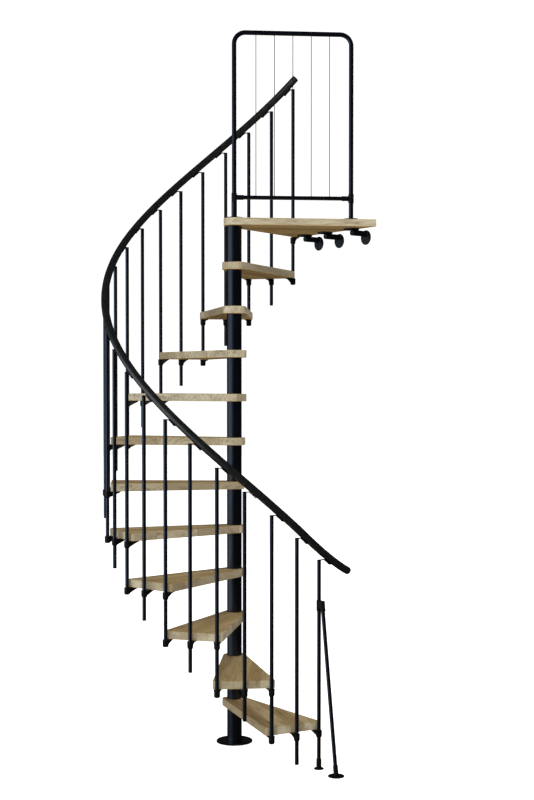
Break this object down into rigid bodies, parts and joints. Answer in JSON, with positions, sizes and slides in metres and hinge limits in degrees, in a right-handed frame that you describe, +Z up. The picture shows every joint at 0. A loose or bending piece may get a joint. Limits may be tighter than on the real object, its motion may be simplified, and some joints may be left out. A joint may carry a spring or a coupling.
{
  "type": "spiral staircase",
  "caption": "Spiral staircase of wooden treads on a round steel column, with plumb balusters, a bent handrail and a landing with its own guard.",
  "frame": {"origin": "on the column's axis, on the underside of its base plate, where it meets the floor", "axes": "+Z up along the column; +X towards the guard end of the landing; going up, the stair turns clockwise seen from above"},
  "size_m": [1.4755, 1.42, 3.824],
  "materials": {
    "painted_steel": "dark anthracite powder coat, satin",
    "black_fitting": "black moulded plastic, fine grain",
    "black_handrail": "black plastic, dull sheen",
    "beech": "laminated pale beech, clear matt lacquer",
    "stainless_wire": "drawn stainless wire"
  },
  "bodies": {
    "root": {"base_plate": "painted_steel", "centre_pole": "painted_steel", "spacer_01": "painted_steel", "spacer_02": "painted_steel", "spacer_03": "painted_steel", "spacer_04": "painted_steel", "spacer_05": "painted_steel", "spacer_06": "painted_steel", "spacer_07": "painted_steel", "spacer_08": "painted_steel", "spacer_09": "painted_steel", "spacer_10": "painted_steel", "spacer_11": "painted_steel", "spacer_12": "painted_steel", "tread_01": "beech", "tread_02": "beech", "tread_03": "beech", "tread_04": "beech", "tread_05": "beech", "tread_06": "beech", "tread_07": "beech", "tread_08": "beech", "tread_09": "beech", "tread_10": "beech", "tread_11": "beech", "landing": "beech", "balusters": "painted_steel", "front_brackets": "black_fitting", "middle_brackets": "black_fitting", "end_brackets": "black_fitting", "rail_clips": "black_fitting", "handrail_lower": "black_handrail", "handrail_middle": "black_handrail", "handrail_upper": "black_handrail", "rail_end_caps": "black_handrail", "start_foot": "black_fitting", "brace": "painted_steel", "brace_foot": "black_fitting", "brace_clamp": "black_fitting", "guard_frame": "painted_steel", "guard_cross_rail": "painted_steel", "guard_tees": "black_fitting", "guard_wires": "stainless_wire", "guard_flanges": "painted_steel", "wall_brackets": "painted_steel"}
  },
  "joints": []
}
